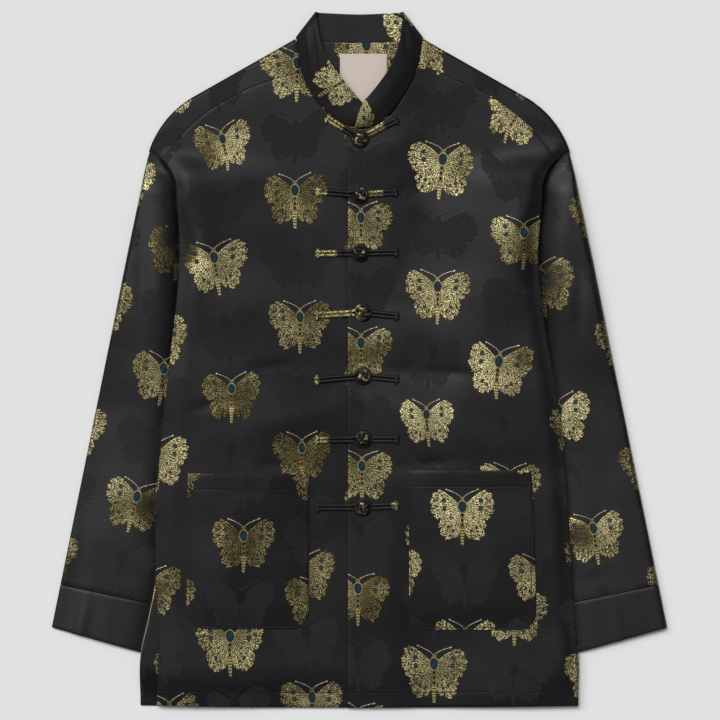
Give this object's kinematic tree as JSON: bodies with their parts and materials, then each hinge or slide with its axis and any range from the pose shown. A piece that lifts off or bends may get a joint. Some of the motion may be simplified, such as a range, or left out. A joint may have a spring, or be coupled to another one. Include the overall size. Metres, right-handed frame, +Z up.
{
  "type": "tang jacket laid flat",
  "caption": "Black figured satin jacket with gold butterflies, stand collar, knotted frogs, turned-back cuffs and patch pockets, laid flat on its back.",
  "frame": {"origin": "middle of the outline, on the surface that the jacket lies on", "axes": "+Y towards the collar, +Z up out of the fastened fronts, +X towards the wearer's left sleeve"},
  "size_m": [0.6888, 0.7785, 0.0211],
  "materials": {
    "brocade_satin": "black figured satin with woven gold butterflies",
    "plain_satin": "plain black satin",
    "satin_cord": "black satin cord",
    "label_weave": "pale woven label"
  },
  "bodies": {
    "root": {"back_panel": "brocade_satin", "front_panel_right": "brocade_satin", "front_panel_left": "brocade_satin", "sleeve_right": "brocade_satin", "sleeve_left": "brocade_satin", "cuff_right": "plain_satin", "cuff_left": "plain_satin", "collar": "brocade_satin", "back_neck_facing": "brocade_satin", "neck_label": "label_weave", "pocket_right": "brocade_satin", "pocket_left": "brocade_satin", "frog_1_loop": "satin_cord", "frog_1_knot": "satin_cord", "frog_1_strap": "satin_cord", "frog_2_loop": "satin_cord", "frog_2_knot": "satin_cord", "frog_2_strap": "satin_cord", "frog_3_loop": "satin_cord", "frog_3_knot": "satin_cord", "frog_3_strap": "satin_cord", "frog_4_loop": "satin_cord", "frog_4_knot": "satin_cord", "frog_4_strap": "satin_cord", "frog_5_loop": "satin_cord", "frog_5_knot": "satin_cord", "frog_5_strap": "satin_cord", "frog_6_loop": "satin_cord", "frog_6_knot": "satin_cord", "frog_6_strap": "satin_cord", "frog_7_loop": "satin_cord", "frog_7_knot": "satin_cord", "frog_7_strap": "satin_cord"}
  },
  "joints": []
}
